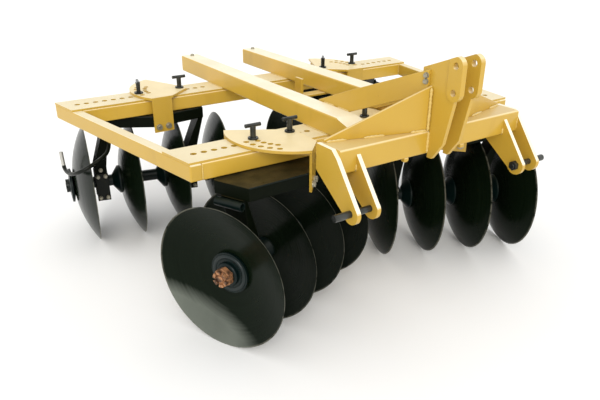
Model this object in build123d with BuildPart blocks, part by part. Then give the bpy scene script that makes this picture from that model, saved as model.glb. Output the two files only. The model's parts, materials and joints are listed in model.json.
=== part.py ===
"""Three-point tandem disc harrow: a welded frame on four disc gangs.

Millimetres. +Z is up and the floor is Z = 0. The hitch faces -Y, and the
machine's left side is +X. The origin is on the floor under the middle of
the machine.
"""

import os
from math import cos, radians, sin

from build123d import *

# Frame plan
toolbar_width = 186.0
toolbar_gap = 46.0
tube_height = 68.0
plate_thick = 9.0
rear_edge_y = 662.0
frame_length = 1130.0
rear_half = 1083.0
front_half = 893.0
side_bar_width = 50.0

# Hole rows in the toolbar plates
hole_pitch = 44.5
hole_radius = 13.0
rear_row_end = 1001.0
rear_row_count = 16
front_row_end = 834.0
front_row_count = 13
pivot_hole_rear = 12
pivot_hole_front = 10

# Rails
rail_width = 106.0
rail_height = 88.0
rail_inset = 152.0
rail_rear_y = 988.0
rail_slope_ahead = 48.0
rail_nose_height = 34.0

# Hitch bar, lower lugs and pins
bar_ahead = 384.0
bar_rise = 85.0
bar_depth = 127.0
bar_height = 92.0
lower_hitch_span = 898.0
lug_gap = 74.0
lug_thick = 18.0
lug_corner = 26.0
lug_pin_ahead = 90.0
lug_pin_drop = 205.0
lug_end_radius = 41.0
lower_pin_radius = 14.2
lower_pin_out = 72.0
lower_shank_radius = 13.0
lower_pin_in = 16.0

# Mast
mast_gap = 72.0
mast_thick = 18.0
mast_hole_ahead = 104.0
mast_rise_high = 269.0
mast_rise_low = 171.0
mast_hole_radius = 13.0
mast_eye_radius = 33.0
mast_back = 61.0
mast_back_drop = 32.0
doubler_thick = 6.0
brace_thick = 12.0
brace_depth = 90.0
brace_back = 217.0
brace_landing = 230.0
gusset_thick = 10.0
gusset_rise = 180.0

# Gang pivots, saddles and boxes
front_angle = 24.5
rear_angle = -12.0
saddle_lift = 1.0
saddle_thick = 12.0
fan_radius = 252.0
fan_offset = 40.0
fan_tip = (-136.0, 246.0)
fan_nose = 36.0
front_fore_near = (-50.0, 146.0)
front_fore_far = (-155.0, 190.0)
rear_fore_near = (-71.0, 131.0)
rear_fore_far = (-174.0, 160.0)
aft_near = (-76.0, 162.0)
aft_far = (-171.0, 205.0)
bracket_thick = 12.0
bracket_drop = 26.0
near_steps = 4
far_steps = 5
box_over_discs = 8.0
tube_over_box = 6.0
box_height = 56.0
box_outer = -415.0
box_outer_half = 84.0
box_inner = 102.0
box_inner_half = 70.0
pin_radius = 12.0
pin_stand = 58.0
handle_radius = 8.0
handle_length = 70.0
centre_plate_radius = 145.0
centre_plate_back = 85.0

# Discs, spools and bearings
disc_diameter = 610.0
disc_thick = 6.0
disc_dish = 80.0
disc_flat = 56.0
disc_pitch = 235.0
outer_rim_u = -512.0
axle_square = 28.0
square_play = 0.5
spool_radius = 30.0
spool_flare = 74.0
spool_foot = 50.0
washer_radius = 88.0
washer_thick = 18.0
nut_radius = 34.0
nut_height = 34.0
axle_over = 11.0
bearing_play = 0.08
bearing_width = 62.0
bearing_depth = 92.0
bearing_over = 95.0
bearing_under = 87.0
front_bearing_u = -330.0
rear_bearing_u = -455.0
leg_thick = 24.0
leg_depth = 110.0

os.makedirs("parts", exist_ok=True)

tube_width = (toolbar_width - toolbar_gap) / 2

# Heights: the boxes clear the discs and carry the frame
box_bottom = disc_diameter + box_over_discs
box_top = box_bottom + box_height
tube_bottom = box_top + tube_over_box
frame_top = tube_bottom + tube_height + plate_thick
bar_top = frame_top + bar_rise
bar_bottom = bar_top - bar_height
lug_pin_z = bar_top - lug_pin_drop
mast_hole_high = bar_top + mast_rise_high
mast_hole_low = bar_top + mast_rise_low

# Places along the machine
front_edge_y = rear_edge_y - frame_length
bar_front_y = front_edge_y - bar_ahead
lug_pin_y = bar_front_y - lug_pin_ahead
mast_hole_y = bar_front_y - mast_hole_ahead
rear_bar_y = rear_edge_y - toolbar_width / 2
front_bar_y = front_edge_y + toolbar_width / 2
disc_radius = disc_diameter / 2
splay = (rear_half - front_half) / frame_length
bar_rear_y = bar_front_y + bar_depth
rail_top = frame_top + rail_height
saddle_bottom = frame_top + saddle_lift
saddle_top = saddle_bottom + saddle_thick
bearing_top = disc_radius + bearing_over
bearing_bottom = disc_radius - bearing_under
row_step = (front_angle - rear_angle) / 3.5


def half_at(y):
    """Half the frame's width at a place along it."""
    return rear_half - splay * (rear_edge_y - y)


def save(part, name):
    """Names a finished piece and writes it."""
    part.label = name
    export_step(part, f"parts/{name}.step")


# Toolbars: two tubes with a slot between them, under one drilled plate
for name, mid_y, row_end, count in (
    ("rear", rear_bar_y, rear_row_end, rear_row_count),
    ("front", front_bar_y, front_row_end, front_row_count),
):
    with BuildPart() as toolbar:
        with BuildSketch(Plane.XY.offset(tube_bottom)):
            for side in (-1, 1):
                y_in = mid_y + side * toolbar_gap / 2
                y_out = mid_y + side * toolbar_width / 2
                with BuildLine():
                    Polyline(
                        (-half_at(y_in) + side_bar_width, y_in),
                        (half_at(y_in) - side_bar_width, y_in),
                        (half_at(y_out) - side_bar_width, y_out),
                        (-half_at(y_out) + side_bar_width, y_out),
                        close=True,
                    )
                make_face()
        extrude(amount=tube_height)
        fillet(toolbar.edges().filter_by(Axis.X), radius=5)
    save(toolbar.part, f"{name}_toolbar")

    with BuildPart() as plate:
        with BuildSketch(Plane.XY.offset(frame_top - plate_thick)):
            back = mid_y + toolbar_width / 2
            fore = mid_y - toolbar_width / 2 + 6
            with BuildLine():
                Polyline(
                    (-half_at(back), back),
                    (half_at(back), back),
                    (half_at(fore), fore),
                    (-half_at(fore), fore),
                    close=True,
                )
            make_face()
            row = [row_end - hole_pitch * k for k in range(count)]
            with Locations(*[(side * x, mid_y) for x in row for side in (-1, 1)]):
                Circle(hole_radius, mode=Mode.SUBTRACT)
        extrude(amount=plate_thick)
    save(plate.part, f"{name}_hole_plate")

# Side bars, splayed so that the frame is narrower at the front
with BuildPart() as side_bars:
    with BuildSketch(Plane.XY.offset(tube_bottom)):
        for side in (-1, 1):
            with BuildLine():
                Polyline(
                    (side * rear_half, rear_edge_y),
                    (side * (rear_half - side_bar_width), rear_edge_y),
                    (side * (front_half - side_bar_width), front_edge_y),
                    (side * front_half, front_edge_y),
                    close=True,
                )
            make_face()
    extrude(amount=tube_height)
save(side_bars.part, "side_bars")

# Rails across both toolbars, with a sloping nose that ends at the hitch bar
rail_mid = rail_inset + rail_width / 2
with BuildPart() as rails:
    for side in (-1, 1):
        with BuildSketch(Plane.YZ.offset(side * rail_mid - rail_width / 2)):
            with BuildLine():
                Polyline(
                    (rail_rear_y, frame_top),
                    (rail_rear_y, rail_top),
                    (front_edge_y - rail_slope_ahead, rail_top),
                    (bar_rear_y, frame_top + rail_nose_height),
                    (bar_rear_y, frame_top),
                    close=True,
                )
            make_face()
        extrude(amount=rail_width)
    fillet(rails.edges().filter_by(Axis.Y), radius=8)
save(rails.part, "frame_rails")

# Strap under the rails with its upright centre bracket
strap_y = 152.0
strap_width = 60.0
strap_thick = 12.0
with BuildPart() as strap:
    with BuildSketch(Plane.XY.offset(frame_top - strap_thick)):
        with Locations((0, strap_y)):
            Rectangle(2 * rail_mid, strap_width)
    extrude(amount=strap_thick)
    with BuildSketch(Plane.XY.offset(frame_top)):
        with Locations((14, strap_y)):
            Rectangle(16, strap_width)
    extrude(amount=rail_height)
save(strap.part, "centre_bracket")

# Hitch bar
with BuildPart() as hitch_bar:
    lug_out = lower_hitch_span / 2 + lug_gap / 2
    with BuildSketch(Plane.YZ.offset(-lug_out)):
        with Locations((bar_front_y + bar_depth / 2, bar_top - bar_height / 2)):
            RectangleRounded(bar_depth, bar_height, 8)
    extrude(amount=2 * lug_out)
save(hitch_bar.part, "hitch_bar")


def lug_face(before, after):
    """Side view of a lug: its corners, the sloping front edge and the pin's eye."""
    with BuildSketch() as face:
        with BuildLine():
            fore = Polyline(
                *before,
                (bar_front_y, bar_top - lug_corner),
                (lug_pin_y - lug_end_radius * 0.94, lug_pin_z + lug_end_radius * 0.34),
            )
            end = ThreePointArc(
                fore @ 1,
                (lug_pin_y - lug_end_radius * 0.3, lug_pin_z - lug_end_radius * 0.954),
                (lug_pin_y + lug_end_radius * 0.88, lug_pin_z - lug_end_radius * 0.475),
            )
            Polyline(end @ 1, *after, fore @ 0)
        make_face()
        with Locations((lug_pin_y, lug_pin_z)):
            Circle(lower_shank_radius, mode=Mode.SUBTRACT)
    return face.sketch


lug_back_y = bar_rear_y - 4
lug_heel = (lug_back_y, bar_bottom - 10)
with BuildPart() as outer_lugs:
    for side in (-1, 1):
        start = side * lug_out if side > 0 else -lug_out - lug_thick
        with BuildSketch(Plane.YZ.offset(start)):
            add(lug_face([(lug_back_y, bar_top), (bar_front_y + 30, bar_top)], [lug_heel]))
        extrude(amount=lug_thick)
save(outer_lugs.part, "outer_lugs")

# The inner lugs are welded to the bar's front and lower faces
lug_in = lower_hitch_span / 2 - lug_gap / 2
with BuildPart() as inner_lugs:
    for side in (-1, 1):
        start = side * lug_in - lug_thick if side > 0 else -lug_in
        with BuildSketch(Plane.YZ.offset(start)):
            add(lug_face([(bar_front_y, bar_bottom)], [lug_heel, (lug_back_y, bar_bottom)]))
        extrude(amount=lug_thick)
save(inner_lugs.part, "inner_lugs")

# Each pin has a shank through both lugs and a thicker free end
with BuildPart() as lower_pins:
    for side in (-1, 1):
        shank_end = lug_in - lug_thick - lower_pin_in
        free_at = lug_out + lug_thick
        for start, end, radius in (
            (shank_end, free_at, lower_shank_radius),
            (free_at, free_at + lower_pin_out, lower_pin_radius),
        ):
            with BuildSketch(Plane.YZ.offset(min(side * start, side * end))):
                with Locations((lug_pin_y, lug_pin_z)):
                    Circle(radius)
            extrude(amount=end - start)
save(lower_pins.part, "lower_link_pins")

# Mast plates, each with a doubler over its nose
mast_mid = mast_gap / 2 + mast_thick / 2
nose_y = mast_hole_y - mast_eye_radius
crown_z = mast_hole_high + mast_eye_radius
back_y = bar_front_y + mast_back
back_z = mast_hole_high - mast_back_drop
doubler_y = mast_hole_y + mast_eye_radius
doubler_z = crown_z - (crown_z - back_z) * mast_eye_radius / (back_y - mast_hole_y)
with BuildPart() as mast_plates:
    for side in (-1, 1):
        with BuildSketch(Plane.YZ.offset(side * mast_mid - mast_thick / 2)):
            with BuildLine():
                Polyline((back_y, bar_top), (back_y, back_z), (mast_hole_y, crown_z))
                CenterArc((mast_hole_y, mast_hole_high), mast_eye_radius, 90, 90)
                Line((nose_y, mast_hole_high), (nose_y, mast_hole_low))
                lobe = CenterArc((mast_hole_y, mast_hole_low), mast_eye_radius, 180, 81)
                Polyline(
                    lobe @ 1,
                    (bar_front_y - 75, bar_top - 36),
                    (bar_front_y - 24, bar_bottom - 15),
                    (bar_front_y, bar_bottom - 15),
                    (bar_front_y, bar_top),
                    (back_y, bar_top),
                )
            make_face()
            with Locations((mast_hole_y, mast_hole_high), (mast_hole_y, mast_hole_low)):
                Circle(mast_hole_radius, mode=Mode.SUBTRACT)
        extrude(amount=mast_thick)
        pad_at = side * (mast_mid + mast_thick / 2)
        with BuildSketch(Plane.YZ.offset(min(pad_at, pad_at + side * doubler_thick))):
            with BuildLine():
                Line((doubler_y, doubler_z), (mast_hole_y, crown_z))
                CenterArc((mast_hole_y, mast_hole_high), mast_eye_radius, 90, 90)
                Line((nose_y, mast_hole_high), (nose_y, mast_hole_low))
                CenterArc((mast_hole_y, mast_hole_low), mast_eye_radius, 180, 180)
                Line((doubler_y, mast_hole_low), (doubler_y, doubler_z))
            make_face()
            with Locations((mast_hole_y, mast_hole_high), (mast_hole_y, mast_hole_low)):
                Circle(mast_hole_radius, mode=Mode.SUBTRACT)
        extrude(amount=doubler_thick)
save(mast_plates.part, "mast_plates")

# Braces from the mast back to the inner faces of the rails
brace_front_y = bar_front_y + 20
brace_rear_y = front_edge_y + brace_back
brace_fold_y = brace_rear_y - brace_landing
with BuildPart() as braces:
    for side in (-1, 1):
        x_front = side * (mast_mid + mast_thick / 2)
        x_rear = side * (rail_inset - brace_thick)
        with BuildSketch(Plane.XY.offset(frame_top + 10)):
            with BuildLine():
                Polyline(
                    (x_front, brace_front_y),
                    (x_front + side * brace_thick, brace_front_y),
                    (x_rear + side * brace_thick, brace_fold_y),
                    (x_rear + side * brace_thick, brace_rear_y),
                    (x_rear, brace_rear_y),
                    (x_rear, brace_fold_y),
                    close=True,
                )
            make_face()
        extrude(amount=mast_hole_high - frame_top)
    with BuildSketch(Plane.YZ):
        top_front = back_z - 2
        with BuildLine():
            Polyline(
                (brace_front_y, top_front),
                (brace_rear_y, rail_top + 2),
                (brace_rear_y, rail_top + 2 - brace_depth * 0.8),
                (brace_rear_y - 60, rail_top + 2 - brace_depth * 0.8),
                (brace_front_y, top_front - brace_depth),
                close=True,
            )
        make_face()
    extrude(amount=rail_inset, both=True, mode=Mode.INTERSECT)
save(braces.part, "mast_braces")

# Gussets standing on the hitch bar, from the mast out to the lugs
with BuildPart() as gussets:
    for side in (-1, 1):
        x_in = side * (mast_mid + mast_thick / 2)
        x_out = side * (lug_out - 8)
        with BuildSketch(Plane.XY.offset(bar_top)):
            with BuildLine():
                Polyline(
                    (x_in, bar_front_y + 4),
                    (x_in, bar_front_y + 4 + gusset_thick),
                    (x_out, bar_rear_y - 8),
                    (x_out, bar_rear_y - 8 - gusset_thick),
                    close=True,
                )
            make_face()
        extrude(amount=gusset_rise)
    with BuildSketch(Plane.XZ.offset(-bar_rear_y)):
        with BuildLine():
            Polyline(
                (-lug_out, bar_top),
                (-lug_out, bar_top + 6),
                (-mast_mid, bar_top + gusset_rise),
                (mast_mid, bar_top + gusset_rise),
                (lug_out, bar_top + 6),
                (lug_out, bar_top),
                close=True,
            )
        make_face()
    extrude(amount=2 * bar_depth, both=True, mode=Mode.INTERSECT)
save(gussets.part, "hitch_gussets")


def t_pin(x, y, low):
    """A standing pin with a cross handle, from low up over the saddle."""
    with BuildPart() as pin:
        with BuildSketch(Plane.XY.offset(low)):
            with Locations((x, y)):
                Circle(pin_radius)
        extrude(amount=saddle_top + pin_stand - low)
        with BuildSketch(Plane.YZ.offset(x - handle_length / 2)):
            with Locations((y, saddle_top + pin_stand)):
                Circle(handle_radius)
        extrude(amount=handle_length)
    return pin.part


# Centre plate on the front toolbar, round at the back, with its own pin
plate_back_y = front_edge_y + toolbar_width + centre_plate_back
with BuildPart() as centre_plate:
    with BuildSketch(Plane.XY.offset(frame_top)):
        with Locations((0, plate_back_y - centre_plate_radius)):
            Circle(centre_plate_radius)
        with Locations((0, front_edge_y + 8 + centre_plate_radius)):
            Rectangle(2 * rail_inset, 2 * centre_plate_radius, mode=Mode.INTERSECT)
        with Locations((18, front_bar_y)):
            Circle(pin_radius, mode=Mode.SUBTRACT)
    extrude(amount=saddle_thick + saddle_lift)
save(centre_plate.part, "centre_plate")

save(t_pin(18, front_bar_y, frame_top), "centre_pin")

# Gangs: the right-hand ones are built, and the left-hand ones mirror them
front_pivot_x = front_row_end - hole_pitch * pivot_hole_front
rear_pivot_x = rear_row_end - hole_pitch * pivot_hole_rear
for row_name, angle, pivot_x, pivot_y, face, bearing_u, set_steps in (
    ("front", front_angle, front_pivot_x, front_bar_y, -1, front_bearing_u, near_steps),
    ("rear", rear_angle, rear_pivot_x, rear_bar_y, 1, rear_bearing_u, far_steps),
):
    along = (cos(radians(angle)), sin(radians(angle)), 0)
    across = (sin(radians(angle)), -cos(radians(angle)), 0)
    fore_near, fore_far = (
        (front_fore_near, front_fore_far) if face < 0 else (rear_fore_near, rear_fore_far)
    )
    floor = Plane(origin=(-pivot_x, pivot_y, 0), x_dir=along, z_dir=(0, 0, 1))
    upright = Plane(origin=(-pivot_x, pivot_y, disc_radius), x_dir=along, z_dir=across)
    axis = Axis((-pivot_x, pivot_y, disc_radius), along)

    # Saddle: a fan plate on the toolbar and two brackets down to the box
    with BuildPart() as saddle:
        with BuildSketch(floor.offset(saddle_bottom)):
            with BuildLine():
                front_edge = Polyline(
                    (fan_nose * 0.6, -fan_nose * 0.8),
                    (fore_near[0] + 6, -fore_near[1] - bracket_thick),
                    (fore_far[0], -fore_far[1] - bracket_thick),
                )
                ThreePointArc(front_edge @ 1, (-fan_radius, fan_offset), fan_tip)
                Line(fan_tip, (fan_nose * 0.6, fan_nose * 0.8))
                ThreePointArc(
                    (fan_nose * 0.6, fan_nose * 0.8),
                    (fan_nose, 0),
                    (fan_nose * 0.6, -fan_nose * 0.8),
                )
            make_face()
            with Locations((0, 0)):
                Circle(pin_radius, mode=Mode.SUBTRACT)
            first_hole = 180 - front_angle
            for radius, start in (
                (near_steps * hole_pitch, first_hole),
                (far_steps * hole_pitch, first_hole + row_step / 2),
            ):
                with PolarLocations(radius, 5, start, 4 * row_step, endpoint=True):
                    Circle(pin_radius, mode=Mode.SUBTRACT)
        extrude(amount=saddle_thick)
        with BuildSketch(floor.offset(box_bottom - bracket_drop)):
            for side, near, far in ((-1, fore_near, fore_far), (1, aft_near, aft_far)):
                with BuildLine():
                    Polyline(
                        (near[0], side * near[1]),
                        (far[0], side * far[1]),
                        (far[0], side * (far[1] + bracket_thick)),
                        (near[0], side * (near[1] + bracket_thick)),
                        close=True,
                    )
                make_face()
        extrude(amount=saddle_bottom - box_bottom + bracket_drop)

    # Flat box under the toolbar
    with BuildPart() as gang_box:
        with BuildSketch(floor.offset(box_bottom)):
            with BuildLine():
                Polyline(
                    (box_outer, -box_outer_half),
                    (fore_far[0], -fore_far[1]),
                    (fore_near[0], -fore_near[1]),
                    (box_inner, -box_inner_half),
                    (box_inner, box_inner_half),
                    (aft_near[0], aft_near[1]),
                    (aft_far[0], aft_far[1]),
                    (box_outer, box_outer_half),
                    close=True,
                )
            make_face()
        extrude(amount=box_height)

    # Two legs under the box, each with a bearing block round the spool
    with BuildPart() as gang_legs:
        for top_u, low_u in (
            (box_outer + leg_thick / 2, bearing_u),
            (box_inner - leg_thick / 2, bearing_u + 2 * disc_pitch),
        ):
            with BuildSketch(floor.offset(box_bottom)):
                with Locations((top_u, 0)):
                    Rectangle(leg_thick, leg_depth)
            with BuildSketch(floor.offset(bearing_top)):
                with Locations((low_u, 0)):
                    Rectangle(bearing_width, bearing_depth)
            loft()
            with BuildSketch(floor.offset(bearing_bottom)):
                with Locations((low_u, 0)):
                    Rectangle(bearing_width, bearing_depth)
            extrude(amount=bearing_top - bearing_bottom)
        with BuildSketch(upright):
            for low_u in (bearing_u, bearing_u + 2 * disc_pitch):
                bore = spool_radius + bearing_play
                with Locations((low_u, bore / 2)):
                    Rectangle(bearing_width, bore)
        revolve(axis=axis, mode=Mode.SUBTRACT)

    # Pins: one to swing on and one that sets the angle
    swing_pin = t_pin(-pivot_x, pivot_y, tube_bottom - 4)
    angle_pin = t_pin(-pivot_x - set_steps * hole_pitch, pivot_y, saddle_bottom)
    with BuildPart() as pins:
        add(swing_pin)
        add(angle_pin)

    # Axle with a nut at each end
    hubs = [outer_rim_u - face * disc_dish + disc_pitch * k for k in range(4)]
    end_reach = disc_thick / 2 + washer_thick + nut_height + axle_over
    end_out = hubs[0] - end_reach
    end_in = hubs[3] + end_reach
    with BuildPart() as axle:
        with BuildSketch(Plane(origin=floor.origin + Vector(0, 0, disc_radius) + Vector(*along) * end_out, x_dir=across, z_dir=along)):
            Rectangle(axle_square, axle_square)
        extrude(amount=end_in - end_out)
    # Spools between the discs, with a bumper washer and nut at each end
    with BuildPart() as spools:
        with BuildSketch(upright):
            half_t = disc_thick / 2
            for k in range(3):
                a = hubs[k] + half_t
                b = hubs[k + 1] - half_t
                wide, slim = (spool_flare, spool_foot) if face < 0 else (spool_foot, spool_flare)
                with BuildLine():
                    Polyline(
                        (a, axle_square * 0.75),
                        (a, wide),
                        (a + 8, wide),
                        (a + 40, spool_radius),
                        (b - 40, spool_radius),
                        (b - 8, slim),
                        (b, slim),
                        (b, axle_square * 0.75),
                        close=True,
                    )
                make_face()
            for side, seat in ((-1, hubs[0] - half_t), (1, hubs[3] + half_t)):
                crown = washer_radius if side < 0 else disc_flat - 4
                with BuildLine():
                    Polyline(
                        (seat, axle_square * 0.75),
                        (seat, disc_flat - 4),
                        (seat + side * 7, crown),
                        (seat + side * washer_thick, crown),
                        (seat + side * (washer_thick + 6), nut_radius),
                        (seat + side * (washer_thick + nut_height), nut_radius),
                        (seat + side * (washer_thick + nut_height), axle_square * 0.75),
                        close=True,
                    )
                make_face()
        revolve(axis=axis)

    # Four dished discs with a flat centre and a square hole
    with BuildPart() as discs:
        with BuildSketch(upright):
            for hub in hubs:
                skin = hub + face * disc_thick / 2
                back = hub - face * disc_thick / 2
                mid_r = (disc_flat + disc_radius) / 2
                swell = (mid_r**2 - disc_flat**2) / (disc_radius**2 - disc_flat**2)
                rim = skin + face * disc_dish
                with BuildLine():
                    Polyline((back, 0), (skin, 0), (skin, disc_flat))
                    ThreePointArc(
                        (skin, disc_flat),
                        (skin + face * disc_dish * swell, mid_r),
                        (rim, disc_radius),
                    )
                    Line((rim, disc_radius), (rim - face * disc_thick, disc_radius - 7))
                    ThreePointArc(
                        (rim - face * disc_thick, disc_radius - 7),
                        (back + face * (disc_dish * swell - 1), mid_r),
                        (back, disc_flat),
                    )
                    Line((back, disc_flat), (back, 0))
                make_face()
        revolve(axis=axis)
        with BuildSketch(Plane(origin=floor.origin + Vector(0, 0, disc_radius) + Vector(*along) * end_out, x_dir=across, z_dir=along)):
            Rectangle(axle_square + 2 * square_play, axle_square + 2 * square_play)
        extrude(amount=end_in - end_out, mode=Mode.SUBTRACT)

    for kind, right in (
        ("saddle", saddle),
        ("gang_box", gang_box),
        ("gang_legs", gang_legs),
        ("saddle_pins", pins),
        ("axle", axle),
        ("spools", spools),
        ("discs", discs),
    ):
        save(right.part, f"{kind}_{row_name}_right")
        with BuildPart() as left:
            mirror(right.part, about=Plane.YZ)
        save(left.part, f"{kind}_{row_name}_left")
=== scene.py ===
"""Finishes and small fittings of a three-point tandem disc harrow."""

import json
from math import atan2, cos, pi, radians, sin

import bpy
from mathutils import Matrix, Vector


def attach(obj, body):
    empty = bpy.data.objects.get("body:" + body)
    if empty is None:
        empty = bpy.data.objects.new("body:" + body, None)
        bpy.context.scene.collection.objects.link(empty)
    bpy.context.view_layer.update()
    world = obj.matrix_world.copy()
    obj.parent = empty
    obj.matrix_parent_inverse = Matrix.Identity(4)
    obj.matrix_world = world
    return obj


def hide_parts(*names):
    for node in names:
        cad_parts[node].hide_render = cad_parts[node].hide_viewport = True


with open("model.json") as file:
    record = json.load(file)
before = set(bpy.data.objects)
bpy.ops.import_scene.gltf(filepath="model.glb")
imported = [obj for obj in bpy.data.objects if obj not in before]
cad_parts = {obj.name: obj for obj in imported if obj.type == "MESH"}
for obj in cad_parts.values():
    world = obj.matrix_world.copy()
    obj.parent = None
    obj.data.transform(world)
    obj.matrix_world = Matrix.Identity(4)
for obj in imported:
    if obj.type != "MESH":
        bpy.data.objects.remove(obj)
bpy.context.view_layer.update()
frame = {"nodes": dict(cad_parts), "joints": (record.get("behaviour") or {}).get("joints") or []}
nodes = frame["nodes"]
gangs = ("front_right", "front_left", "rear_right", "rear_left")
swings = [joint for joint in frame["joints"] if joint["name"].startswith("swing_")]
rolls = [joint for joint in frame["joints"] if joint["name"].startswith("roll_")]
swing = {joint["name"].removeprefix("swing_"): Vector(joint["pos_m"]) for joint in swings}
roll = {joint["name"].removeprefix("roll_"): Vector(joint["axis"]) for joint in rolls}
axle_height = rolls[0]["pos_m"][2]
upward = Vector((0, 0, 1))


def gang_ways(tag):
    """The gang's own directions: along the axle to the middle of the machine, and ahead."""
    hand = 1 if tag.endswith("right") else -1
    along = roll[tag].normalized()
    if along.x * hand < 0:
        along = -along
    return along, Vector((along.y, -along.x, 0)) * hand


# ---------------------------------------------------------------- camera
def aim_camera():
    """Sets the camera where the photographer stood, right of the hitch and above it."""
    turn, tilt, lean = radians(34.978), radians(26.248), radians(0.704)
    ahead = Vector((sin(turn) * cos(tilt), cos(turn) * cos(tilt), -sin(tilt)))
    data = bpy.data.cameras.new("viewpoint")
    data.lens = 37.25
    data.sensor_width = 36
    data.shift_x = -0.0125
    data.shift_y = 0.0413
    camera = bpy.data.objects.new("viewpoint", data)
    bpy.context.scene.collection.objects.link(camera)
    camera.location = (-1.7718, -2.4910, 1.5775)
    camera.rotation_mode = "QUATERNION"
    camera.rotation_quaternion = ahead.to_track_quat("-Z", "Y")
    camera.rotation_quaternion @= Matrix.Rotation(lean, 3, "Z").to_quaternion()
    bpy.context.scene.camera = camera


aim_camera()


# ---------------------------------------------------------------- finishes
class Amount:
    """A number that varies over a surface, so that sums on it read as sums."""

    def __init__(self, finish, socket):
        self.finish = finish
        self.socket = socket

    def sum(self, operation, *others, clamp=False):
        """Joins this amount to others, or to plain numbers, by one operation."""
        settings = {"operation": operation, "use_clamp": clamp}
        node = self.finish.add("ShaderNodeMath", settings, [self, *others])
        return Amount(self.finish, node.outputs[0])

    def __add__(self, other):
        return self.sum("ADD", other)

    def __mul__(self, other):
        return self.sum("MULTIPLY", other)

    def __sub__(self, other):
        return self.sum("SUBTRACT", other)

    def __rsub__(self, other):
        return (self * -1.0) + other

    def over(self, level, soft=0.02):
        """0 below a level and 1 above it, with a soft step between."""
        return ((self - level) * (1 / soft)).sum("ADD", 0.5, clamp=True)

    def held(self):
        """The amount kept between 0 and 1."""
        return self.sum("ADD", 0.0, clamp=True)


class Finish:
    """A paint or metal, built up from noise on the piece's own place in the machine."""

    def __init__(self, name):
        self.material = bpy.data.materials.new(name)
        self.material.use_nodes = True
        self.tree = self.material.node_tree
        self.tree.nodes.clear()
        self.place = self.add("ShaderNodeTexCoord").outputs["Object"]

    def add(self, kind, settings=None, inputs=()):
        """Adds a node of a type, with its settings and then its sockets' values or links."""
        node = self.tree.nodes.new(kind)
        for key, value in (settings or {}).items():
            setattr(node, key, value)
        pairs = inputs.items() if isinstance(inputs, dict) else enumerate(inputs)
        for key, value in pairs:
            if isinstance(value, Amount):
                value = value.socket
            if isinstance(value, bpy.types.NodeSocket):
                self.tree.links.new(value, node.inputs[key])
            else:
                node.inputs[key].default_value = value
        return node

    def noise(self, scale, detail=4.0, rough=0.55, at=None, stretch=None):
        """Cloudy variation, from 0 to 1, with so many patches in a metre."""
        where = at or self.place
        if stretch:
            where = self.add("ShaderNodeMapping", {}, {"Vector": where, "Scale": stretch}).outputs[0]
        inputs = {"Vector": where, "Scale": scale, "Detail": detail, "Roughness": rough}
        return Amount(self, self.add("ShaderNodeTexNoise", {}, inputs).outputs["Fac"])

    def vector(self, operation, *inputs):
        """The sockets that come out of one operation on vectors."""
        return self.add("ShaderNodeVectorMath", {"operation": operation}, inputs).outputs

    def mix(self, share, first, second):
        """One colour passing into another."""
        node = self.add("ShaderNodeMix", {"data_type": "RGBA"}, {0: share, 6: first, 7: second})
        return node.outputs[2]

    def sides(self):
        """How far a face looks to the left, to the rear and up, each from -1 to 1."""
        normal = self.add("ShaderNodeNewGeometry").outputs["True Normal"]
        parts = self.add("ShaderNodeSeparateXYZ", {}, [normal])
        return [Amount(self, parts.outputs[k]) for k in range(3)]

    def relief(self, height, depth):
        """Small bumps on the surface, of so many metres."""
        inputs = {"Strength": 1.0, "Distance": depth, "Height": height}
        return self.add("ShaderNodeBump", {}, inputs).outputs[0]

    def close(self, colour, roughness, normal=None, metallic=0.0, coat=0.0, shine=0.5):
        """Joins the surface to the output."""
        inputs = {
            "Base Color": colour, "Roughness": roughness, "Metallic": metallic,
            "Coat Weight": coat, "Coat Roughness": 0.1, "Specular IOR Level": shine,
        }
        if normal:
            inputs["Normal"] = normal
        shader = self.add("ShaderNodeBsdfPrincipled", {}, inputs)
        self.add("ShaderNodeOutputMaterial", {}, [shader.outputs[0]])
        return self.material


def mustard_enamel(name, sheen_share, pale=(0.86, 0.72, 0.42, 1), painted_light_gain=1.0):
    """Sprayed enamel, a little orange-peel, dusty on what faces up, with a painted highlight on what faces
    up or up and ahead, and a gain that brightens the whole colour as painted light.
    """
    f = Finish(name)
    # painted light: the gain brightens both base tones, for copies whose faces lie in shade
    deep, light = [
        [part * painted_light_gain for part in tone] + [1] for tone in ((0.50, 0.308, 0.034), (0.59, 0.372, 0.048))
    ]
    cloud = f.noise(3.2, 5)
    speck = f.noise(140, 3)
    _, ahead, up = f.sides()
    # painted highlight: faces that look up, or up and ahead, pass towards a pale colour in place of
    # reflected sky
    sunny = up * 0.86 - ahead * 0.5
    painted_sheen = sunny.over(0.72, 0.2) * (f.noise(2.4, 4) * 0.5 + 0.75) * sheen_share
    painted_sheen = (painted_sheen + sunny.over(0.9, 0.06) * 0.45).held()
    dust = (up.over(0.6, 0.3) * f.noise(8, 6).over(0.5, 0.2) * 0.16).held()
    colour = f.mix(cloud, deep, light)
    colour = f.mix(painted_sheen, colour, pale)
    colour = f.mix(dust, colour, (0.62, 0.50, 0.28, 1))
    scuff = (f.noise(46, 7, 0.7).over(0.7, 0.03) * f.noise(2.1, 2).over(0.5, 0.2) * 0.5).held()
    colour = f.mix(scuff, colour, (0.30, 0.19, 0.05, 1))
    drip = f.noise(9, 5, stretch=(1.0, 1.0, 0.18)).over(0.62, 0.1) * (1 - up.over(0.3, 0.3)) * 0.22
    colour = f.mix(drip.held(), colour, (0.40, 0.24, 0.035, 1))
    rough = cloud * 0.12 + 0.28 + dust * 0.5 + painted_sheen * 0.1
    peel = f.noise(420, 2) * 0.6 + speck * 0.4
    return f.close(colour, rough, f.relief(peel, 0.0004), coat=0.2, shine=0.4)


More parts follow.
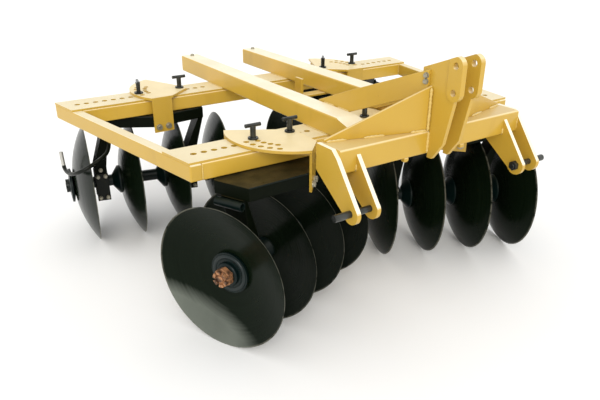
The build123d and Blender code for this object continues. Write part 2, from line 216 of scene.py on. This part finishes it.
def black_enamel(name, shine, soil_and_reflection=0.0, deep=(0.003, 0.0046, 0.0022, 1)):
    """Gloss black paint with a thin film of dust on its upper sides, and, when asked for, brown on its
    upper sides that is partly soil and partly a painted reflection of the yellow frame above.
    """
    f = Finish(name)
    _, _, up = f.sides()
    film = (f.noise(9, 6).over(0.55, 0.3) * (up.over(0.4, 0.6) * 0.5 + 0.12)).held()
    chip = f.noise(70, 5, 0.7).over(0.72, 0.02) * 0.5
    colour = f.mix(film, deep, (0.014, 0.018, 0.009, 1))
    colour = f.mix(chip.held(), colour, (0.05, 0.032, 0.018, 1))
    if soil_and_reflection:
        # upper faces pass towards brown: partly soil, partly a painted reflection of the yellow frame
        # above
        soil_and_reflection_share = up.over(0.7, 0.3) * (f.noise(14, 6).over(0.45, 0.3) * 0.7 + 0.3) * soil_and_reflection
        colour = f.mix(soil_and_reflection_share.held(), colour, (0.07, 0.052, 0.02, 1))
    rough = film * 0.3 + 0.24 + f.noise(60, 3) * 0.1
    return f.close(colour, rough, f.relief(f.noise(300, 3), 0.0005), shine=shine)


def disc_enamel(tag):
    """Black paint on a gang's discs, brushed in rings round their axle, bare at the rim, with a painted
    floor reflection low on the front right gang's outermost disc.
    """
    f = Finish(f"disc_enamel_{tag}")
    centre = swing[tag].copy()
    centre.z = axle_height
    off = f.vector("SUBTRACT", f.place, tuple(centre))[0]
    along = Amount(f, f.vector("DOT_PRODUCT", off, tuple(roll[tag]))["Value"])
    far = Amount(f, f.vector("LENGTH", off)["Value"])
    radius = (far * far - along * along).sum("MAXIMUM", 0.0).sum("SQRT")
    ring_place = f.add("ShaderNodeCombineXYZ", {}, [radius * 9.0, along * 4.0, 0.0]).outputs[0]
    rings = f.noise(9, 4, at=ring_place)
    cloud = f.noise(4, 5)
    film = (rings * 0.5 + cloud * 0.5).over(0.55, 0.3) * 0.4
    rim = radius.over(0.3003, 0.004) * f.noise(30, 4).over(0.42, 0.2)
    colour = f.mix(film.held(), (0.0028, 0.0058, 0.0024, 1), (0.008, 0.014, 0.008, 1))
    colour = f.mix((rim * 0.6).held(), colour, (0.17, 0.165, 0.13, 1))
    rough = film * 0.2 + 0.2 + rim * 0.15
    if tag == "front_right":
        # a painted reflection of the bright floor: pale, low on the outermost disc
        fore = gang_ways(tag)[1]
        ahead = Amount(f, f.vector("DOT_PRODUCT", off, tuple(fore))["Value"])
        height = Amount(f, f.add("ShaderNodeSeparateXYZ", {}, [off]).outputs[2])
        low = (height * -1.0 - ahead * 0.34 + rings * 0.03).over(0.218, 0.06)
        low = low * along.sum("ABSOLUTE").over(0.40, 0.02) * (0.17 - ahead).over(0.0, 0.22)
        colour = f.mix((low * (cloud * 0.6 + 0.45)).held(), colour, (0.15, 0.165, 0.14, 1))
        rough = rough + low * 0.25
    shine = 0.07 if tag.startswith("front") else 0.2
    return f.close(colour, rough, f.relief(rings * 0.7 + cloud * 0.3, 0.0010), shine=shine)


def rusted_steel():
    """Bare nut and axle end under brown rust."""
    f = Finish("rusted_steel")
    patch = f.noise(48, 3).over(0.5, 0.2)
    fine = f.noise(260, 4)
    colour = f.mix(patch, (0.085, 0.038, 0.018, 1), (0.47, 0.22, 0.095, 1))
    colour = f.mix((fine.over(0.58, 0.1) * 0.4).held(), colour, (0.03, 0.018, 0.01, 1))
    return f.close(colour, fine * 0.25 + 0.45, f.relief(fine, 0.0012), metallic=0.25)


def pin_steel():
    """Dark oiled steel with bright rubbed patches."""
    f = Finish("pin_steel")
    rub = f.noise(16, 5).over(0.52, 0.3)
    colour = f.mix((rub * 0.5).held(), (0.016, 0.018, 0.016, 1), (0.13, 0.135, 0.125, 1))
    return f.close(colour, rub * -0.1 + 0.27, f.relief(f.noise(500, 2), 0.0003), metallic=0.6)


def weld_enamel():
    """The frame's paint over rippled weld beads, with a painted highlight that turns their upper sides
    pale.
    """
    f = Finish("weld_enamel")
    ripple = f.noise(170, 3)
    _, _, up = f.sides()
    colour = f.mix(ripple, (0.56, 0.36, 0.06, 1), (0.74, 0.55, 0.19, 1))
    # painted highlight on the beads' upper sides
    colour = f.mix((up.over(0.55, 0.4) * 0.45).held(), colour, (0.74, 0.66, 0.42, 1))
    return f.close(colour, ripple * 0.15 + 0.3, f.relief(ripple, 0.002), coat=0.15)


def zinc_plate():
    """Plated bolt heads and nuts."""
    f = Finish("zinc_plate")
    fine = f.noise(90, 5)
    colour = f.mix(fine, (0.30, 0.28, 0.21, 1), (0.46, 0.43, 0.34, 1))
    return f.close(colour, fine * 0.2 + 0.28, f.relief(fine, 0.0003), metallic=0.85)


def bright_tip():
    """Bare steel polished by use at the end of a rod."""
    f = Finish("bright_tip")
    fine = f.noise(120, 5)
    colour = f.mix(fine, (0.42, 0.41, 0.37, 1), (0.62, 0.6, 0.55, 1))
    return f.close(colour, fine * 0.25 + 0.25, f.relief(fine, 0.0003), metallic=0.6)


# each copy below carries the painted highlight at its own strength and colour
mustard = mustard_enamel("mustard_enamel", 0.34)
pale_mustard = mustard_enamel("sheen_enamel", 0.92)
plate_mustard = mustard_enamel("plate_enamel", 0.72, (0.88, 0.81, 0.58, 1))
# the toolbar and rail copies are also brightened as painted light
toolbar_mustard = mustard_enamel("toolbar_enamel", 0.34, painted_light_gain=1.12)
white_mustard = mustard_enamel("rail_enamel", 0.95, (0.9, 0.83, 0.62, 1), painted_light_gain=1.1)
lug_mustard = mustard_enamel("lug_enamel", 1.0, (0.96, 0.86, 0.66, 1))
black = black_enamel("black_enamel", 0.2)
spool_black = black_enamel("spool_enamel", 0.2, deep=(0.0016, 0.0072, 0.0068, 1))
rim_black = black_enamel("rim_enamel", 0.36, deep=(0.002, 0.0085, 0.0085, 1))
deep_black = black_enamel("box_enamel", 0.04, 0.8)
rusty = rusted_steel()
dark_pin = pin_steel()
weld_paint = weld_enamel()
zinc = zinc_plate()
bright = bright_tip()


# ---------------------------------------------------------------- hand tools
def deselect():
    """Selects nothing."""
    bpy.ops.object.select_all(action="DESELECT")


def take(piece):
    """Selects one piece alone and makes it the one that is worked on."""
    deselect()
    piece.select_set(True)
    bpy.context.view_layer.objects.active = piece
    return piece


def shape(piece, modifier, **settings):
    """Adds a modifier and applies it."""
    take(piece)
    made = piece.modifiers.new(modifier.lower(), modifier)
    for key, value in settings.items():
        setattr(made, key, value)
    bpy.ops.object.modifier_apply(modifier=made.name)


def soften(piece, width, segments=2, smooth=34):
    """Rounds the sharp edges and smooths the shallow ones, up to so many degrees."""
    if width:
        sharp = {"limit_method": "ANGLE", "angle_limit": radians(32)}
        shape(piece, "BEVEL", width=width, segments=segments, **sharp)
    take(piece)
    bpy.ops.object.shade_smooth_by_angle(angle=radians(smooth))
    shape(piece, "WEIGHTED_NORMAL", keep_sharp=True)


def plant(piece, name, body, finish):
    """Fixes a finished piece to its body at the machine's origin."""
    take(piece)
    bpy.ops.object.transform_apply(location=True, rotation=True, scale=True)
    piece.name = name
    piece.data.name = name
    piece.data.materials.clear()
    piece.data.materials.append(finish)
    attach(piece, body)
    return piece


def turned(direction):
    """The turn that lays a piece's own upright along a direction."""
    return Vector(direction).to_track_quat("Z", "Y").to_matrix().to_4x4()


def copies(master, name, spots, body, finish):
    """Copies one fitting to each (place, direction) and joins them as one piece."""
    made = []
    for spot, direction in spots:
        data = master.data.copy()
        data.transform(Matrix.Translation(Vector(spot)) @ turned(direction))
        piece = bpy.data.objects.new(name, data)
        bpy.context.scene.collection.objects.link(piece)
        made.append(piece)
    deselect()
    for piece in made:
        piece.select_set(True)
    bpy.context.view_layer.objects.active = made[0]
    if len(made) > 1:
        bpy.ops.object.join()
    return plant(made[0], name, body, finish)


def discard(*masters):
    """Takes away the fittings that were only there to be copied."""
    for piece in masters:
        bpy.data.objects.remove(piece)


def dress(node, finish, width, body):
    """A merged copy of a piece with rounded edges, shown in its place."""
    data = nodes[node].data.copy()
    piece = bpy.data.objects.new(f"{node}_dressed", data)
    bpy.context.scene.collection.objects.link(piece)
    shape(piece, "WELD", merge_threshold=0.00002)
    if width:
        shape(piece, "DECIMATE", decimate_type="DISSOLVE", angle_limit=radians(1.5))
    soften(piece, width, smooth=22)
    plant(piece, f"{node}_dressed", body, finish)
    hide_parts(node)
    return piece


def open_vertices(piece, wanted):
    """Opens a piece in edit mode with the vertices that a list picks, in the mesh's order."""
    take(piece)
    mesh = piece.data
    for part in (mesh.edges, mesh.polygons):
        for item in part:
            item.select = False
    for vertex, pick in zip(mesh.vertices, wanted):
        vertex.select = pick
    bpy.ops.object.mode_set(mode="EDIT")
    bpy.ops.mesh.select_mode(type="VERT")


def close_up():
    """Leaves edit mode."""
    bpy.ops.object.mode_set(mode="OBJECT")


def turn_handle(piece, at, degrees):
    """Turns the cross handle of a standing pin about the pin."""
    handle_low, handle_mid, reach = 0.8185, 0.828, 0.045
    spots = [vertex.co for vertex in piece.data.vertices]
    open_vertices(piece, [(s.xy - at.xy).length < reach and s.z > handle_low for s in spots])
    centre = (at.x, at.y, handle_mid)
    bpy.ops.transform.rotate(value=radians(degrees), orient_axis="Z", center_override=centre)
    close_up()


def draw_in(piece, tag, depth, by):
    """Shortens both ends of a piece on an axle, taking the vertices nearest each end."""
    along = gang_ways(tag)[0]
    for way in (-1, 1):
        reach = [(vertex.co - swing[tag]).dot(along) * way for vertex in piece.data.vertices]
        far = max(reach)
        open_vertices(piece, [at > far - depth for at in reach])
        bpy.ops.transform.translate(value=along * -way * by)
        close_up()


# ---------------------------------------------------------------- painted pieces
painted = {
    mustard: {
        "hitch_bar": 0.0, "centre_bracket": 0.003,
        "mast_plates": 0.0025, "mast_braces": 0.002, "hitch_gussets": 0.002,
    },
    toolbar_mustard: {"rear_toolbar": 0.0, "front_toolbar": 0.0},
    plate_mustard: {"rear_hole_plate": 0.0015, "front_hole_plate": 0.0015, "side_bars": 0.005},
    pale_mustard: {"centre_plate": 0.002},
    lug_mustard: {"outer_lugs": 0.0025, "inner_lugs": 0.0025},
    white_mustard: {"frame_rails": 0.0},
}
axle_finish = {"front": rusty, "rear": dark_pin}
angle_pin_out = {"front": 0.178, "rear": 0.2225}
for finish, edges in painted.items():
    for node, width in edges.items():
        dress(node, finish, width, "frame")
for node in ("centre_pin", "lower_link_pins"):
    dress(node, dark_pin, 0.002, "frame")
for tag in gangs:
    gang, spindle = f"gang_{tag}", f"spindle_{tag}"
    dress(f"saddle_{tag}", pale_mustard, 0.002, gang)
    dress(f"gang_box_{tag}", deep_black, 0.004, gang)
    dress(f"gang_legs_{tag}", deep_black, 0.004, gang)
    pins = dress(f"saddle_pins_{tag}", dark_pin, 0.002, gang)
    if tag == "rear_right":
        turn_handle(pins, swing[tag] - Vector((angle_pin_out["rear"], 0, 0)), -74)
    if tag == "rear_left":
        turn_handle(pins, swing[tag], -54)
    axle = dress(f"axle_{tag}", axle_finish[tag.split("_")[0]], 0.0015, spindle)
    spools = dress(f"spools_{tag}", spool_black, 0.0, spindle)
    if tag.startswith("rear"):
        draw_in(axle, tag, 0.026, 0.022)
        draw_in(spools, tag, 0.022, 0.017)
    dress(f"discs_{tag}", disc_enamel(tag), 0.0, spindle)


# ---------------------------------------------------------------- places on the gangs
def on_gang(tag, out, ahead, height):
    """A place by a gang: along its axle from the pivot, ahead of it, and above the ground."""
    along, fore = gang_ways(tag)
    spot = swing[tag] + along * out + fore * ahead
    spot.z = height
    return spot


# along the axle from the pivot, by row: the outermost disc, the outer bearing, and
# how far past the end discs' middles the nuts sit
outer_hub = {"front": -0.432, "rear": -0.592}
bearing_at = {"front": -0.330, "rear": -0.455}
nut_seat = {"front": 0.021, "rear": -0.020}
hub_run = 0.705
bearing_step = 0.470


# ---------------------------------------------------------------- small fittings
def chosen(piece, wanted):
    """Opens a piece in edit mode with the faces that a test picks."""
    take(piece)
    for part in (piece.data.vertices, piece.data.edges):
        for item in part:
            item.select = False
    for face in piece.data.polygons:
        face.select = bool(wanted(face))
    bpy.ops.object.mode_set(mode="EDIT")
    bpy.ops.mesh.select_mode(type="FACE")


def top_face(face):
    """True of a face that looks up."""
    return face.normal.z > 0.9


def drum(name, sides, radius, low, high):
    """An upright round or many-sided blank between two heights."""
    deselect()
    middle = (0, 0, (low + high) / 2)
    bpy.ops.mesh.primitive_cylinder_add(vertices=sides, radius=radius, depth=high - low, location=middle)
    piece = bpy.context.object
    piece.name = name
    bpy.ops.object.transform_apply(location=True, rotation=True, scale=True)
    return piece


def raise_top(piece, *steps):
    """Insets the top face and raises it, step by step, as (inset, rise)."""
    chosen(piece, top_face)
    for inset, rise in steps:
        bpy.ops.mesh.inset(thickness=inset, depth=rise)
    close_up()


def joined(first, *others):
    """Joins blanks into one fitting."""
    deselect()
    for piece in (first, *others):
        piece.select_set(True)
    bpy.context.view_layer.objects.active = first
    bpy.ops.object.join()
    return first


def bolt_head(across, height):
    """A six-sided head with a chamfered top on a thin washer."""
    washer = drum("washer", 24, across * 0.66, -0.001, 0.0025)
    raise_top(washer, (0.0006, 0.0006))
    head = drum("head", 6, across * 0.577, 0.0025, 0.0025 + height * 0.9)
    raise_top(head, (across * 0.07, height * 0.1), (across * 0.1, 0.0), (0.0004, -0.0006))
    head = joined(head, washer)
    soften(head, 0.0004)
    return head


def lock_nut(across, height, thread):
    """A nut on its washer with the end of the bolt standing out of it."""
    nut = drum("nut", 6, across * 0.577, -0.001, height * 0.9)
    raise_top(nut, (across * 0.07, height * 0.1), (across * 0.14, 0.0))
    end = drum("end", 20, thread, 0.0, height + 0.006)
    raise_top(end, (0.0012, 0.0012))
    nut = joined(nut, end)
    soften(nut, 0.0004)
    return nut


def castle_nut():
    """The axle's nut as two fittings: a rounded boss, and a six-sided body with its slotted crown."""
    boss = drum("boss", 40, 0.052, -0.001, 0.014)
    raise_top(boss, (0.0015, 0.0035), (0.003, 0.0025), (0.005, 0.0015), (0.006, 0.0))
    body = drum("body", 6, 0.0405, 0.021, 0.045)
    raise_top(body, (0.0022, 0.002))
    crown = drum("crown", 36, 0.0345, 0.046, 0.0515)
    raise_top(crown, (0.0125, 0.0))

    def tooth(face):
        """True of the crown's faces that stand between its six slots."""
        if not top_face(face) or face.center.xy.length < 0.02:
            return False
        turn = atan2(face.center.y, face.center.x) % (pi / 3)
        return turn > radians(20)

    chosen(crown, tooth)
    bpy.ops.mesh.extrude_region_move(TRANSFORM_OT_translate={"value": (0, 0, 0.0115)})
    close_up()
    tip = drum("tip", 24, 0.0135, 0.051, 0.0585)
    raise_top(tip, (0.002, 0.002), (0.006, -0.001))
    body = joined(body, crown, tip)
    soften(body, 0.0009)
    soften(boss, 0.0)
    return boss, body


def washer_rim():
    """The rounded rim that stands out of an end washer."""
    deselect()
    counts = {"major_segments": 56, "minor_segments": 14}
    bpy.ops.mesh.primitive_torus_add(major_radius=0.072, minor_radius=0.0105, **counts)
    rim = bpy.context.object
    rim.scale = (1, 1, 0.62)
    bpy.ops.object.transform_apply(location=True, rotation=True, scale=True)
    bpy.ops.object.shade_smooth()
    return rim


def collar():
    """The ring that a standing pin turns in."""
    ring = drum("ring", 32, 0.022, -0.001, 0.006)
    raise_top(ring, (0.002, 0.002), (0.006, 0.0), (0.001, -0.0015))
    soften(ring, 0.0)
    return ring


def pipe_stub(length):
    """A short open tube."""
    tube = drum("tube", 32, 0.018, 0.0, length)
    raise_top(tube, (0.0035, 0.0), (0.0002, -0.06))
    soften(tube, 0.0006)
    return tube


def bearing_cover():
    """The flange plate of a bearing."""
    deselect()
    bpy.ops.mesh.primitive_cube_add(size=1, location=(0, 0, 0.003))
    plate = bpy.context.object
    plate.scale = (0.066, 0.150, 0.008)
    bpy.ops.object.transform_apply(location=True, rotation=True, scale=True)
    raise_top(plate, (0.0015, 0.001), (0.006, 0.0))
    soften(plate, 0.0008)
    return plate


def bead(name, runs, thickness, finish, body):
    """Weld beads: each run is a hand-laid line of small overlapping puddles."""
    data = bpy.data.curves.new(name, "CURVE")
    data.dimensions = "3D"
    data.bevel_depth = thickness
    data.bevel_resolution = 2
    data.use_fill_caps = True
    for number, (start, end) in enumerate(runs):
        start, end = Vector(start), Vector(end)
        count = max(5, int((end - start).length / (thickness * 0.9)))
        line = data.splines.new("POLY")
        line.points.add(count - 1)
        for k in range(count):
            share = k / (count - 1)
            swell = 1 + 0.16 * sin(k * 2.1 + number) + 0.16 * 0.6 * sin(k * 0.7 + number * 2.3)
            taper = min(1.0, 0.35 + 3 * min(share, 1 - share) * count / 8)
            spot = start.lerp(end, share)
            line.points[k].co = (*spot, 1)
            line.points[k].radius = swell * taper
    piece = bpy.data.objects.new(name, data)
    bpy.context.scene.collection.objects.link(piece)
    take(piece)
    bpy.ops.object.convert(target="MESH")
    piece = bpy.context.object
    bpy.ops.object.shade_smooth()
    return plant(piece, name, body, finish)


def bent_rod(name, points, thickness, finish, body):
    """A rod bent smoothly through its points, closed at both ends."""
    data = bpy.data.curves.new(name, "CURVE")
    data.dimensions = "3D"
    data.bevel_depth = thickness
    data.bevel_resolution = 4
    data.use_fill_caps = True
    data.resolution_u = 6
    line = data.splines.new("NURBS")
    line.points.add(len(points) - 1)
    for point, spot in zip(line.points, points):
        point.co = (*spot, 1)
    line.order_u = 4
    line.use_endpoint_u = True
    piece = bpy.data.objects.new(name, data)
    bpy.context.scene.collection.objects.link(piece)
    take(piece)
    bpy.ops.object.convert(target="MESH")
    piece = bpy.context.object
    soften(piece, 0.0)
    return plant(piece, name, body, finish)


# ---------------------------------------------------------------- bolts, nuts and collars
large_bolt = bolt_head(0.024, 0.011)
small_bolt = bolt_head(0.017, 0.008)
boss, slotted = castle_nut()
rim = washer_rim()
ring = collar()
stub = pipe_stub(0.124)
cover = bearing_cover()
pin_nut = lock_nut(0.038, 0.016, 0.0125)

# the brackets' two legs by row, each from its near to its far corner, along and ahead
bracket_ends = {
    "front": (((-0.050, 0.146), (-0.155, 0.190)), ((-0.076, -0.162), (-0.171, -0.205))),
    "rear": (((-0.071, 0.131), (-0.174, 0.160)), ((-0.076, -0.162), (-0.171, -0.205))),
}
bracket_skin, bracket_bolt_height = 0.012, 0.619
cover_skin, cover_height = 0.0455, 0.290
collar_height = 0.770
# the bolts of a bearing: along, height, and how far out of the bearing's middle they start
bearing_studs = (
    (-0.019, 0.232, 0.0530), (0.019, 0.232, 0.0530), (-0.019, 0.350, 0.0530), (0.019, 0.350, 0.0530),
    (0.0, 0.384, 0.0465),
)
for tag in gangs:
    row = tag.split("_")[0]
    gang, spindle = f"gang_{tag}", f"spindle_{tag}"
    along, fore = gang_ways(tag)
    spots = []
    for near, far in bracket_ends[row]:
        side = 1 if near[1] > 0 else -1
        run = Vector((far[0] - near[0], far[1] - near[1])).normalized()
        out = (along * (run.y * -1) + fore * run.x) * (-side)
        out.normalize()
        for share in (0.28, 0.76):
            u = near[0] + (far[0] - near[0]) * share
            v = near[1] + (far[1] - near[1]) * share + side * bracket_skin
            spots.append((on_gang(tag, u, v, bracket_bolt_height), out))
    copies(large_bolt, f"bracket_bolts_{tag}", spots, gang, zinc)
    plates, studs = [], []
    for at in (bearing_at[row], bearing_at[row] + bearing_step):
        for side in (1, -1):
            plates.append((on_gang(tag, at, side * cover_skin, cover_height), fore * side))
            for shift, height, skin in bearing_studs:
                studs.append((on_gang(tag, at + shift, side * skin, height), fore * side))
    copies(cover, f"bearing_covers_{tag}", plates, gang, black)
    copies(small_bolt, f"bearing_bolts_{tag}", studs, gang, zinc)
    ends = []
    for hub, way in ((outer_hub[row], -1), (outer_hub[row] + hub_run, 1)):
        ends.append((on_gang(tag, hub + way * nut_seat[row], 0, axle_height), along * way))
    if row == "front":
        copies(boss, f"axle_bosses_{tag}", ends, spindle, spool_black)
        copies(rim, f"washer_rims_{tag}", ends, spindle, rim_black)
    copies(slotted, f"castle_nuts_{tag}", ends, spindle, axle_finish[row])
    hand = 1 if tag.endswith("left") else -1
    rings = []
    for out in (0, hand * angle_pin_out[row]):
        rings.append((Vector((swing[tag].x + out, swing[tag].y, collar_height)), upward))
    copies(ring, f"pin_collars_{tag}", rings, gang, dark_pin)
    if row == "front":
        spots = [(on_gang(tag, -0.431, -0.062, 0.599), fore)]
        copies(stub, f"stub_tube_{tag}", spots, gang, spool_black)

copies(ring, "centre_collar", [((0.018, -0.375, collar_height), upward)], "frame", dark_pin)
for side, word, pin_finish in ((-1, "right", zinc), (1, "left", dark_pin)):
    # where a brace's slanting outer face lies against the mast plate, and which way it looks
    brace_face, brace_out = side * 0.06846, (side * 0.974, -0.228, 0)
    spots = [((brace_face, -0.824, height), brace_out) for height in (1.055, 1.032)]
    copies(small_bolt, f"mast_bolts_{word}", spots, "frame", zinc)
    spots = [((side * 0.394, -0.942, 0.637), (-side, 0, 0))]
    copies(pin_nut, f"pin_nut_{word}", spots, "frame", pin_finish)
    spots = [((side * 0.205, 0.955, 0.845), upward)]
    copies(small_bolt, f"rail_bolt_{word}", spots, "frame", zinc)
discard(large_bolt, small_bolt, boss, slotted, rim, ring, stub, cover, pin_nut)


# ---------------------------------------------------------------- hook rods
hook_points = (
    (-0.900, 0.585, 0.640), (-0.893, 0.570, 0.610), (-0.878, 0.552, 0.560), (-0.884, 0.537, 0.541),
    (-0.909, 0.494, 0.514), (-0.962, 0.437, 0.511), (-1.006, 0.402, 0.506), (-1.043, 0.393, 0.494),
    (-1.075, 0.407, 0.478), (-1.094, 0.453, 0.455), (-1.101, 0.518, 0.434), (-1.1025, 0.575, 0.430),
    (-1.1025, 0.604, 0.436), (-1.1025, 0.609, 0.452),
)
hook_tip = (
    (-1.1025, 0.608, 0.446), (-1.1025, 0.614, 0.470), (-1.1025, 0.619, 0.498), (-1.1025, 0.621, 0.520),
)
for side, word in ((1, "right"), (-1, "left")):
    for name, points, thick, finish in (
        ("hook_rod", hook_points, 0.0098, black), ("hook_tip", hook_tip, 0.0094, bright),
    ):
        spots = [(side * x, y, z) for x, y, z in points]
        bent_rod(f"{name}_rear_{word}", spots, thick, finish, f"gang_rear_{word}")


# ---------------------------------------------------------------- welds
def gusset_front(x):
    """The foot of the gusset's front face, at a distance from the middle."""
    return -0.848 + (abs(x) - 0.054) * 0.2476


bar_top, bar_low, bar_face = 0.842, 0.750, -0.852
stitches = []
for side in (-1, 1):
    for near, far in ((0.064, 0.132), (0.242, 0.325), (0.395, 0.472)):
        start = (side * near, gusset_front(near) - 0.003, bar_top + 0.002)
        end = (side * far, gusset_front(far) - 0.003, bar_top + 0.002)
        stitches.append((start, end))
    stitches.append(((side * 0.0615, -0.851, bar_top), (side * 0.0615, -0.851, 1.012)))
    stitches.append(((side * 0.056, bar_face, bar_low + 0.004), (side * 0.056, bar_face, bar_top - 0.003)))
    for foot in (0.394, 0.412):
        x = side * foot
        stitches.append(((x, bar_face, bar_low + 0.004), (x, bar_face, bar_low + 0.028)))
    x, y = side * 0.486, bar_face + 0.004
    stitches.append(((x, y, bar_low + 0.006), (x, y, bar_top - 0.026)))
bead("hitch_welds", stitches, 0.0058, weld_paint, "frame")

# where the rails and their feet meet the front toolbar and the rear one
seams = []
foot_height = 0.758
for side in (-1, 1):
    for start, end in ((-0.456, -0.308), (-0.294, -0.282)):
        for x in (side * 0.152, side * 0.258):
            seams.append(((x, start, foot_height), (x, end, foot_height)))
    for x in (side * 0.152, side * 0.258):
        seams.append(((x, 0.486, foot_height), (x, 0.65, foot_height)))
    for start in (-0.470, -0.370):
        seams.append(((side * 0.153, start, 0.845), (side * 0.153, start + 0.075, 0.845)))
bead("rail_welds", seams, 0.0034, weld_paint, "frame")

# where the side bars' ends meet the toolbars' faces
corner_seams = []
for side in (-1, 1):
    for y, half in ((0.662, 1.083), (0.476, 1.0517), (-0.282, 0.9243), (-0.468, 0.893)):
        x = side * (half - 0.050)
        face = y + (0.0005 if y in (0.662, -0.282) else -0.0005)
        corner_seams.append(((x, face, 0.684), (x, face, 0.745)))
bead("corner_welds", corner_seams, 0.0032, weld_paint, "frame")

# round the top of each gang's box
for tag in gangs:
    row = tag.split("_")[0]
    near, far = bracket_ends[row][0]
    line = [on_gang(tag, u, v, 0.6725) for u, v in ((-0.413, 0.083), far, near, (0.100, 0.069))]
    runs = list(zip(line[:-1], line[1:]))
    bead(f"box_seam_{tag}", runs, 0.0028, spool_black, f"gang_{tag}")


# ---------------------------------------------------------------- lumps under the hitch bar
def bar_lump():
    """A small welded stop, rounded by the torch."""
    deselect()
    bpy.ops.mesh.primitive_cube_add(size=1, location=(0, 0, 0))
    lump = bpy.context.object
    lump.scale = (0.024, 0.022, 0.016)
    bpy.ops.object.transform_apply(location=True, rotation=True, scale=True)
    chosen(lump, lambda face: face.normal.z < -0.9)
    bpy.ops.mesh.inset(thickness=0.005, depth=0.003)
    close_up()
    soften(lump, 0.004, segments=3)
    return lump


lump = bar_lump()
spots = [((x, -0.840, 0.744), upward) for x in (-0.160, 0.150)]
copies(lump, "bar_lumps", spots, "frame", mustard)
discard(lump)


# ---------------------------------------------------------------- stage and light
def set_stage():
    """Pale floor, a soft key from the front right above, and a wide fill."""
    bpy.ops.mesh.primitive_plane_add(size=60, location=(0, 0, -0.0005))
    floor = bpy.context.object
    floor.name = "studio_floor"
    f = Finish("studio_floor")
    floor.data.materials.append(f.close((0.94, 0.94, 0.93, 1), 0.9, shine=0.1))
    world = bpy.data.worlds.new("studio")
    bpy.context.scene.world = world
    world.use_nodes = True
    sky = world.node_tree.nodes["Background"]
    sky.inputs[0].default_value = (1, 1, 1, 1)
    sky.inputs[1].default_value = 1.0
    sun = bpy.data.lights.new("sun", "SUN")
    sun.energy = 1.5
    sun.angle = radians(38)
    sun.color = (1, 0.975, 0.93)
    lamp = bpy.data.objects.new("sun", sun)
    lamp.rotation_mode = "QUATERNION"
    lamp.rotation_quaternion = Vector((0.46, 0.70, -0.52)).to_track_quat("-Z", "Y")
    bpy.context.scene.collection.objects.link(lamp)
    bpy.context.scene.view_settings.view_transform = "Standard"


set_stage()
